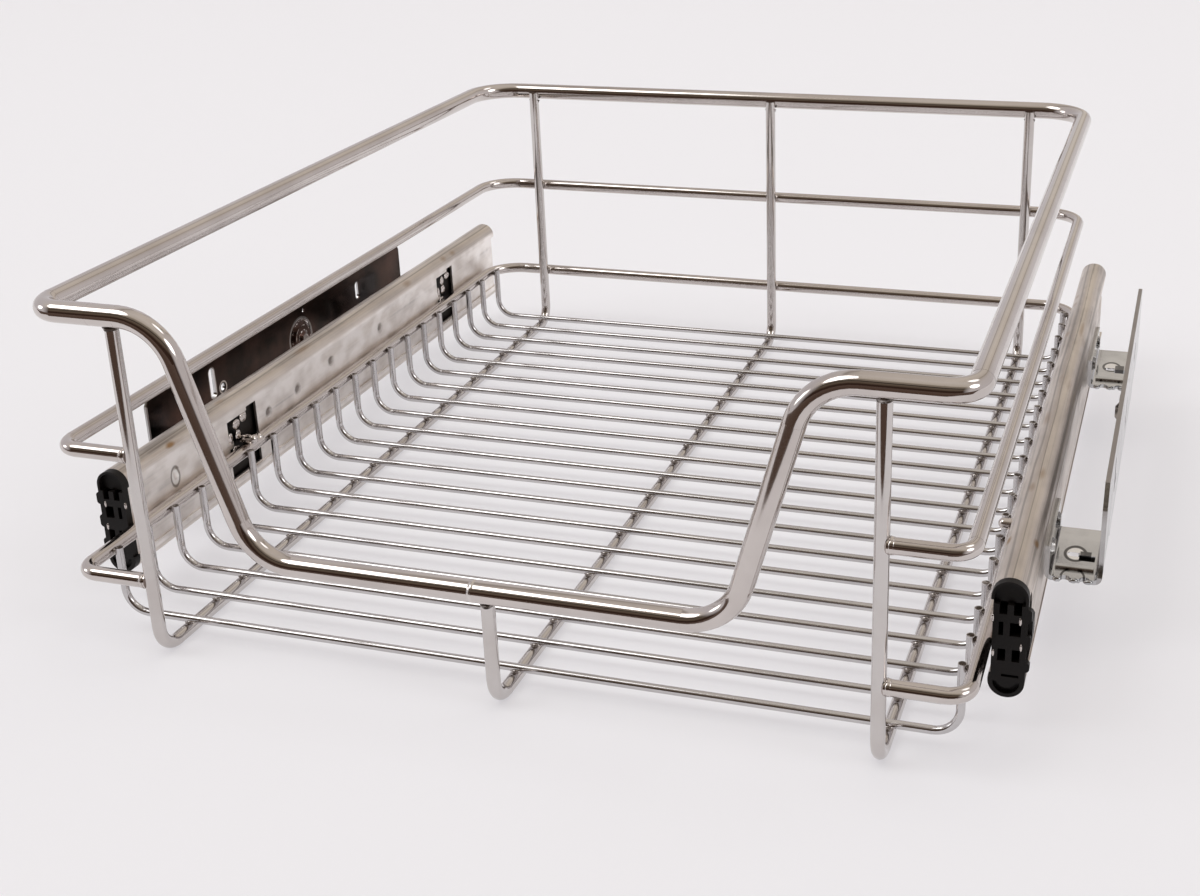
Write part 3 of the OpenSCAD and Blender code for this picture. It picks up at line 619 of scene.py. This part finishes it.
# radii of the wires, the spacing of the floor's and the height of the bar across the dip
wires = {"tube": 4.2, "rim": 2.9, "runner": 2.6, "floor": 1.6, "floorPitch": 19.57, "floorCount": 20, "dipZ": 48.9}
runnerLow, runnerHigh = boxOf("left_runner")
floorLow, floorHigh = boxOf("floor_wires")
wires["topZ"] = boxOf("top_rim")[1].z - wires["tube"]
wires["frontY"] = runnerLow.y + wires["runner"]
wires["rearY"] = runnerHigh.y - wires["runner"]
wires["runners"] = [sum(corner.x for corner in boxOf(n + "_runner")) / 2 for n in ("left", "centre", "right")]
wires["rimHeights"] = [sum(corner.z for corner in boxOf(n + "_rim")) / 2 for n in ("middle", "lower")]
wires["firstFloor"] = floorLow.y + wires["floor"]
wires["floorHalf"] = floorHigh.x - wires["floor"]
wires["tipZ"] = floorHigh.z


class Shape:
    def __init__(self):
        self.points = []
        self.faces = []

    # a skin over rings of points, closed round each ring and capped at both ends
    def skin(self, rings):
        first = len(self.points)
        around = len(rings[0])
        for ring in rings:
            self.points.extend(ring)
        for i in range(len(rings) - 1):
            for j in range(around):
                a = first + i * around + j
                b = first + i * around + (j + 1) % around
                self.faces.append((a, b, b + around, a + around))
        self.faces.append(tuple(first + j for j in reversed(range(around))))
        last = first + (len(rings) - 1) * around
        self.faces.append(tuple(last + j for j in range(around)))

    def build(self, name, body, slotName, material, smooth=True):
        mesh = bpy.data.meshes.new(name)
        mesh.from_pydata([tuple(mm * c for c in p) for p in self.points], [], self.faces)
        mesh.validate()
        mesh.materials.append(material)
        for face in mesh.polygons:
            face.use_smooth = smooth
        piece = bpy.data.objects.new(name, mesh)
        bpy.context.scene.collection.objects.link(piece)
        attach(piece, body)


# a direction and two axes across it
def across(direction):
    ahead = Vector(direction).normalized()
    side = ahead.orthogonal().normalized()
    return ahead, side, ahead.cross(side)


# a lumpy nugget with the three half sizes given
def nugget(shape, centre, halves, rough, draw, around=12, rows=7):
    centre = Vector(centre)
    waves = [draw.uniform(-1, 1) for _ in range(6)]
    rings = []
    for i in range(rows):
        up = math.pi * (i + 0.5) / rows
        ring = []
        for j in range(around):
            turn = 2 * math.pi * j / around
            lump = 1 + rough * (
                waves[0] * math.sin(2 * turn + waves[1] * 3) + waves[2] * math.sin(3 * turn + waves[3] * 3 + up)
                + waves[4] * math.cos(2 * up + waves[5] * 3)
            ) / 2
            way = Vector((math.sin(up) * math.cos(turn), math.sin(up) * math.sin(turn), -math.cos(up)))
            ring.append(centre + Vector(w * h * lump for w, h in zip(way, halves)))
        rings.append(ring)
    shape.skin(rings)


# a fillet round a wire where it meets another one: profile is (along, radius) pairs
def fillet(shape, centre, direction, profile, rough, draw, around=20):
    ahead, side, over = across(direction)
    waves = [draw.uniform(0, 6.28) for _ in range(3)]
    rings = []
    for along, radius in profile:
        ring = []
        for j in range(around):
            turn = 2 * math.pi * j / around
            lump = 1 + rough * (math.sin(2 * turn + waves[0]) + math.sin(3 * turn + waves[1] + along)) / 2
            way = side * math.cos(turn) + over * math.sin(turn)
            ring.append(Vector(centre) + ahead * along + way * radius * lump)
        rings.append(ring)
    shape.skin(rings)


weldSizes = {
    # half sizes of the nuggets: over the runners, beside the lower rim, on a floor wire's tip, behind the rims
    "crossing": (1.9, 1.5, 0.7),
    "side": (0.75, 1.7, 1.3),
    "tip": (1.35, 1.35, 0.32),
    "rear": (2.6, 1.0, 2.3),
    "roughness": 0.16,
    "tipRoughness": 0.1,
    "rearRoughness": 0.14,
    "sink": 0.1,
    "lastIn": 0.85,  # the last floor wire follows the rim's bend in
    # fillets under the top rim, as (along, radius), and the ways the front and rear uprights lean
    "flare": [(0.9, 2.62), (1.4, 2.68), (1.9, 2.85), (2.3, 3.05)],
    "flareDown": 2.2,
    "rearLean": (0, 0.25, 1),
    "frontLean": (0, -0.1, 1),
    "flareRoughness": 0.03,
    # collars where the lower rims meet the front uprights
    "collar": [(-0.2, 2.92), (0.3, 2.98), (0.9, 3.08), (1.5, 3.2)],
    "collarOut": 1.5,
    "collarRoughness": 0.02,
}


def makeWelds():
    draw = random.Random(11)
    floorWelds, crossWelds, rimWelds, collars = Shape(), Shape(), Shape(), Shape()
    rough, sink = weldSizes["roughness"], weldSizes["sink"]
    last = wires["floorCount"] - 1
    for i in range(wires["floorCount"]):
        y = wires["firstFloor"] + i * wires["floorPitch"]
        half = wires["floorHalf"] - (weldSizes["lastIn"] if i == last else 0)
        for x in wires["runners"]:
            nugget(crossWelds, (x, y, 2 * wires["runner"] + sink), weldSizes["crossing"], rough, draw)
        for side in (-1, 1):
            rimX = side * (half + wires["floor"] - sink)
            nugget(floorWelds, (rimX, y, wires["rimHeights"][1]), weldSizes["side"], rough, draw)
            nugget(floorWelds, (side * half, y, wires["tipZ"]), weldSizes["tip"], weldSizes["tipRoughness"], draw)
    drop = wires["tube"] + weldSizes["flareDown"]
    for x in wires["runners"]:
        frontTop = wires["dipZ"] if x == wires["runners"][1] else wires["topZ"]
        ends = [
            ((x, wires["rearY"], wires["topZ"] - drop), weldSizes["rearLean"]),
            ((x, wires["frontY"], frontTop - drop), weldSizes["frontLean"]),
        ]
        for place, lean in ends:
            fillet(rimWelds, place, lean, weldSizes["flare"], weldSizes["flareRoughness"], draw)
        for z in wires["rimHeights"]:
            place = (x, wires["rearY"] + wires["runner"], z)
            nugget(rimWelds, place, weldSizes["rear"], weldSizes["rearRoughness"], draw)
    for z in wires["rimHeights"]:
        for side, x in ((-1, wires["runners"][0]), (1, wires["runners"][2])):
            start = (x + side * (wires["runner"] + weldSizes["collarOut"]), wires["frontY"], z)
            fillet(collars, start, (-side, 0, 0), weldSizes["collar"], weldSizes["collarRoughness"], draw)
    floorWelds.build("floor_welds", "basket", "floor_chrome", weldMetal)
    crossWelds.build("cross_welds", "basket", "floor_chrome", crossMetal)
    collars.build("rim_collars", "basket", "rim_chrome", finishes["peg_chrome"])
    rimWelds.build("rim_welds", "basket", "rim_chrome", weldMetal)


makeWelds()
print("welds laid")


# chrome lumps in the front and rear windows of the slides' webs: (y from the window's front, z, half y, half z)
windowSizes = {
    "x": 174.3,
    "halfX": 0.62,
    "fronts": [-88.9, 126.1],
    "lumps": [
        (7.2, 45.3, 2.9, 2.4), (7.6, 40.3, 2.4, 2.3), (1.7, 40.0, 1.7, 3.0), (5.4, 33.0, 3.3, 2.9),
        (13.6, 46.5, 2.8, 2.1),
    ],
    "roughness": 0.3,
    # the blob that holds the peg's wire to the lower rim
    "blob": (171.5, -70.3, 33.4),
    "blobHalves": (2.9, 3.0, 3.4),
    "blobRoughness": 0.12,
}


def makeWindowLumps():
    draw = random.Random(5)
    lumps = Shape()
    for side in (-1, 1):
        for front in windowSizes["fronts"]:
            for y, z, halfY, halfZ in windowSizes["lumps"]:
                halves = (windowSizes["halfX"], halfY, halfZ)
                nugget(lumps, (side * windowSizes["x"], front + y, z), halves, windowSizes["roughness"], draw, 16, 9)
        x, y, z = windowSizes["blob"]
        nugget(lumps, (side * x, y, z), windowSizes["blobHalves"], windowSizes["blobRoughness"], draw, 20, 11)
    lumps.build("window_lumps", "basket", "peg_chrome", finishes["peg_chrome"])


makeWindowLumps()


# near-black sheets under the shelves' slots, painted shade seen through them, and the curled lobes at the brackets'
# front edges
bracketSizes = {
    "slots": [-87.3, 119.3],
    "shadeSheetX": (196.9, 203.4),
    "shadeSheetLength": 6.4,
    "shadeSheetZ": (29.6, 29.99),
    "fronts": [-106.9, 93.1],
    "lobes": [190.6, 196.6, 202.0],
    "lobe": (1.7, 0.8, 1.0),
    "lobeZ": 30.9,
    "lobeAhead": 0.2,
    "lobeRoughness": 0.15,
}


def makeBracketWork():
    draw = random.Random(3)
    shadeSheets, lobes = Shape(), Shape()
    halfLength = bracketSizes["shadeSheetLength"] / 2
    for side in (-1, 1):
        near, far = (side * x for x in bracketSizes["shadeSheetX"])
        for y in bracketSizes["slots"]:
            front, rear = y - halfLength, y + halfLength
            ring = [(near, front), (far, front), (far, rear), (near, rear)]
            shadeSheets.skin([[(*corner, z) for corner in ring[::side]] for z in bracketSizes["shadeSheetZ"]])
        for y in bracketSizes["fronts"]:
            for x in bracketSizes["lobes"]:
                place = (side * x, y - bracketSizes["lobeAhead"], bracketSizes["lobeZ"])
                nugget(lobes, place, bracketSizes["lobe"], bracketSizes["lobeRoughness"], draw)
    # black plastic finish: the sheets stand for the shade under each slot
    shadeSheets.build("slot_shade_sheets", "cabinet_rails", "rail_steel", finishes["cap_plastic"], smooth=False)
    lobes.build("curled_lobes", "cabinet_rails", "rail_steel", finishes["rail_steel"])


makeBracketWork()


# plated catches beside a front cap's pockets, as (x, z)
catchSizes = {
    "places": [(173.9, 43.8), (183.4, 43.5), (174.6, 30.2), (184.0, 33.4)],
    "y": -165.2,
    "half": (0.55, 0.4, 1.5),
    "roughness": 0.2,
}


def makeCatches():
    draw = random.Random(9)
    catches = Shape()
    for side in (-1, 1):
        for x, z in catchSizes["places"]:
            nugget(catches, (side * x, catchSizes["y"], z), catchSizes["half"], catchSizes["roughness"], draw)
    catches.build("cap_catches", "basket", "cap_plastic", finishes["peg_chrome"])


makeCatches()
print("window lumps, bracket work and cap catches made")


# where the camera stands in metres, its turn as an axis times an angle, and its lens in pixels of its frame
cameraSettings = {
    "eye": (0.22694, -0.66419, 0.32635),
    "turn": (1.92489, 0.28232, -0.23167),
    "focal": 1632.9,
    "centre": (673.8, 371.6),
    "frame": (1200, 896),
    "sensor": 36,
    "nearest": 0.01,
}


def makeCamera():
    data = bpy.data.cameras.new("camera")
    camera = bpy.data.objects.new("camera", data)
    bpy.context.scene.collection.objects.link(camera)
    turn = Vector(cameraSettings["turn"])
    right, down, ahead = Matrix.Rotation(turn.length, 3, turn.normalized())
    width, height = cameraSettings["frame"]
    stand = Matrix((right, -down, -ahead)).transposed().to_4x4()
    camera.matrix_world = Matrix.Translation(cameraSettings["eye"]) @ stand
    data.sensor_width = cameraSettings["sensor"]
    data.lens = cameraSettings["focal"] / width * cameraSettings["sensor"]
    data.shift_x = (width / 2 - cameraSettings["centre"][0]) / width
    data.shift_y = (cameraSettings["centre"][1] - height / 2) / width
    data.clip_start = cameraSettings["nearest"]
    bpy.context.scene.camera = camera


def shaded(shade, amount):
    return tuple(amount * c for c in shade)


def makeSheet(name, corners):
    mesh = bpy.data.meshes.new(name)
    mesh.from_pydata(corners, [], [(0, 1, 2, 3)])
    sheet = bpy.data.objects.new(name, mesh)
    bpy.context.scene.collection.objects.link(sheet)
    return sheet


paperFloor = {
    "half": 10.0,
    "paper": (0.38, 0.38, 0.388),
    "glow": (0.45, 0.438, 0.455),
    "clouds": ((1, 1, 1), 900, 2, 0.5),
    "cloudAmount": 0.15,
    "paperUnder": 0.97,
    "glowUnder": 0.99,
    "roughness": 0.9,
}


# pale paper, lit a little from within
def makeFloor():
    half = paperFloor["half"]
    floor = makeSheet("paperFloor", [(-half, -half, 0), (half, -half, 0), (half, half, 0), (-half, half, 0)])
    finish = Finish(bpy.data.materials.new("paper"))
    clouds = finish.noise(*paperFloor["clouds"]) * paperFloor["cloudAmount"]
    paper, glow = paperFloor["paper"], paperFloor["glow"]
    floor.data.materials.append(finish.close(
        Base_Color=finish.tint(clouds, paper, shaded(paper, paperFloor["paperUnder"])),
        Roughness=paperFloor["roughness"],
        Emission_Color=finish.tint(clouds, glow, shaded(glow, paperFloor["glowUnder"])),
        Emission_Strength=1.0,
    ))


room = {
    # the front half, by degrees from its horizon over the top
    "front": [
        (0, (0.055, 0.030, 0.021)), (14, (0.035, 0.020, 0.014)), (17, (0.095, 0.064, 0.046)),
        (32, (0.165, 0.130, 0.098)), (36, (0.050, 0.038, 0.030)), (41, (0.055, 0.043, 0.034)),
        (44, (0.29, 0.245, 0.195)), (52, (0.26, 0.22, 0.175)), (60, (0.60, 0.54, 0.47)),
        (80, (0.70, 0.645, 0.58)), (110, (0.76, 0.72, 0.70)), (180, (0.74, 0.71, 0.71)),
    ],
    # the back and the sides, by degrees from the right horizon over the top to the left one
    "back": [
        (0, (0.70, 0.67, 0.68)), (38, (0.68, 0.64, 0.63)), (56, (0.60, 0.55, 0.50)), (60, (0.34, 0.295, 0.26)),
        (64, (0.66, 0.60, 0.53)), (88, (0.74, 0.68, 0.61)), (110, (0.64, 0.59, 0.54)), (115, (0.36, 0.32, 0.29)),
        (120, (0.72, 0.68, 0.66)), (150, (0.66, 0.63, 0.645)), (180, (0.68, 0.655, 0.67)),
    ],
    # how far aside and how far back the second takes over
    "side": (0.66, 0.86),
    "behind": (-0.05, 0.2),
    # softboxes: the way to each, its half angle in degrees and its brightness
    "softboxes": [
        ((-0.50, -0.30, 0.81), 15, 4.0),
        ((-0.93, -0.20, 0.30), 9, 3.2),
        ((0.80, -0.12, 0.50), 12, 4.0),
        ((0.45, 0.35, 0.82), 9, 2.2),
    ],
    "edge": 3,
    "strength": 1.0,
}


# a dim room in front, pale paper behind and at the sides, and four softboxes
def makeWorld():
    world = bpy.data.worlds.new("room")
    bpy.context.scene.world = world
    finish = Finish(world)
    way = finish.add("ShaderNodeTexCoord")
    x, y, z = (finish.add("ShaderNodeSeparateXYZ", {}, {"Vector": way}, output=i) for i in range(3))
    shades = []
    for name, ahead in (("front", 0 - y), ("back", x)):
        turn = finish.maths("ARCTAN2", abs(z), ahead) / math.pi
        stops = [(angle / 180, shade) for angle, shade in room[name]]
        shades.append(finish.add("ShaderNodeValToRGB", {"stops": stops}, {"Fac": turn}))
    aside = finish.mask(abs(x), *room["side"])
    light = finish.tint(finish.maths("MAXIMUM", aside, finish.mask(y, *room["behind"])), *shades)
    for toward, half, brightness in room["softboxes"]:
        middle = tuple(Vector(toward).normalized())
        near = finish.add("ShaderNodeVectorMath", {"operation": "DOT_PRODUCT"}, {0: way, 1: middle}, output=1)
        rim = [math.cos(math.radians(half + side * room["edge"] / 2)) for side in (1, -1)]
        light = finish.tint(finish.mask(near, *rim), light, (brightness, brightness, brightness))
    glow = finish.add("ShaderNodeBackground", {}, {"Color": light, "Strength": room["strength"]})
    finish.add("ShaderNodeOutputWorld", {}, {"Surface": glow})


tableEnd = {
    "front": -0.42,
    "back": -10.0,
    "half": 10.0,
    "lift": 0.0003,
    "shade": (0.026, 0.014, 0.009),
    "shadeTimes": (2, 4),
    "pile": ((1, 1, 1), 60, 3, 0.5),
}


# the dark floor past the table's front edge, met by reflections alone
def makeTableEnd():
    half, near, far, lift = (tableEnd[n] for n in ("half", "front", "back", "lift"))
    ground = makeSheet("darkFloor", [(-half, far, lift), (half, far, lift), (half, near, lift), (-half, near, lift)])
    finish = Finish(bpy.data.materials.new("darkCarpet"))
    pile = finish.noise(*tableEnd["pile"])
    ground.data.materials.append(finish.close(
        Base_Color=(0.0, 0.0, 0.0),
        Roughness=1.0,
        Emission_Color=finish.tint(pile, *(shaded(tableEnd["shade"], n) for n in tableEnd["shadeTimes"])),
        Emission_Strength=1.0,
    ))
    ground.visible_camera = False
    ground.visible_diffuse = False
    ground.visible_shadow = False
    ground.visible_transmission = False


fillSoftbox = {"place": (0.0, 0.1, 2.4), "target": (0, 0, 0), "size": (3.0, 3.0), "power": 14}


def makeFillSoftbox():
    data = bpy.data.lights.new("fillSoftbox", "AREA")
    data.shape = "RECTANGLE"
    data.size, data.size_y = fillSoftbox["size"]
    data.energy = fillSoftbox["power"]
    light = bpy.data.objects.new("fillSoftbox", data)
    bpy.context.scene.collection.objects.link(light)
    toward = Vector(fillSoftbox["target"]) - Vector(fillSoftbox["place"])
    light.location = fillSoftbox["place"]
    light.rotation_euler = toward.to_track_quat("-Z", "Y").to_euler()
    light.visible_glossy = False


makeCamera()
makeFloor()
makeWorld()
makeTableEnd()
makeFillSoftbox()
view = bpy.context.scene.view_settings
view.view_transform = "Standard"
view.look = "None"
print("studio set")
